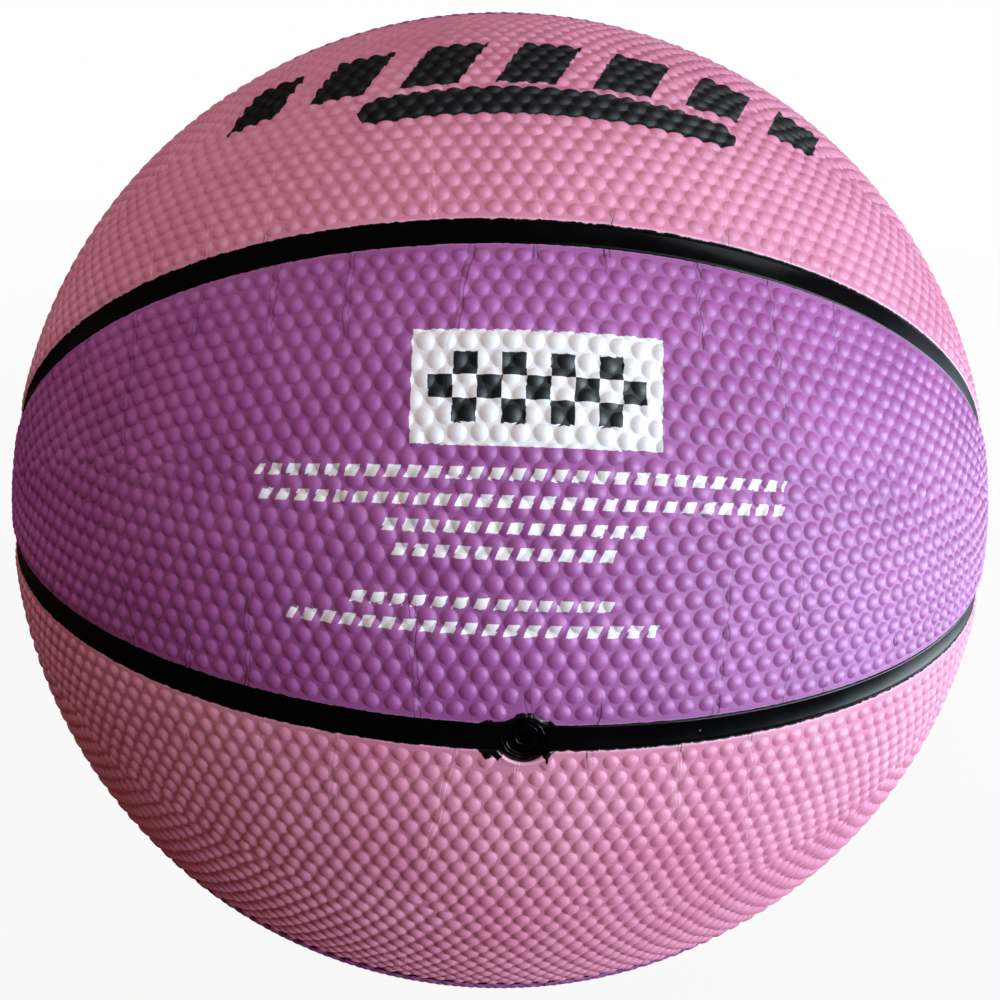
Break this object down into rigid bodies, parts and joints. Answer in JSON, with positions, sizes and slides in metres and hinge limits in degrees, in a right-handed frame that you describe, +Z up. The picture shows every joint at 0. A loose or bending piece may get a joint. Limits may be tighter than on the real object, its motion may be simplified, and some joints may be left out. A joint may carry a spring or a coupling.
{
  "type": "basketball",
  "caption": "Round pebbled rubber ball for bouncing and throwing, in pink and purple panels with black channels, pumped up through a push-in valve plug.",
  "frame": {"origin": "centre of the ball", "axes": "+Z up; -Y outwards along the valve's axis; +X along the axis through the two poles where the panels meet"},
  "size_m": [0.222, 0.2221, 0.2222],
  "materials": {
    "pink_rubber": "satin moulded rubber",
    "purple_rubber": "satin moulded rubber",
    "black_rubber": "glossy black lacquer over rubber",
    "butyl_rubber": "dull black butyl rubber",
    "nylon_thread": "wound nylon thread"
  },
  "bodies": {
    "ball": {"purple_panel_1": "purple_rubber", "purple_panel_2": "purple_rubber", "purple_panel_3": "purple_rubber", "purple_panel_4": "purple_rubber", "pink_panel_1": "pink_rubber", "pink_panel_2": "pink_rubber", "pink_panel_3": "pink_rubber", "pink_panel_4": "pink_rubber", "valve_channel_strip": "black_rubber", "channel_strip_1": "black_rubber", "channel_strip_2": "black_rubber", "channel_strip_3": "black_rubber", "channel_strip_4": "black_rubber", "channel_strip_5": "black_rubber", "channel_strip_6": "black_rubber", "channel_strip_7": "black_rubber", "carcass": "butyl_rubber", "winding": "nylon_thread", "bladder": "butyl_rubber", "valve_housing": "butyl_rubber"},
    "valve_plug": {"valve_plug": "black_rubber"}
  },
  "joints": [
    {"name": "plug_pull", "type": "slide", "parent": "ball", "child": "valve_plug", "axis": [0, -1, 0], "range_m": [0, 0.025]}
  ]
}
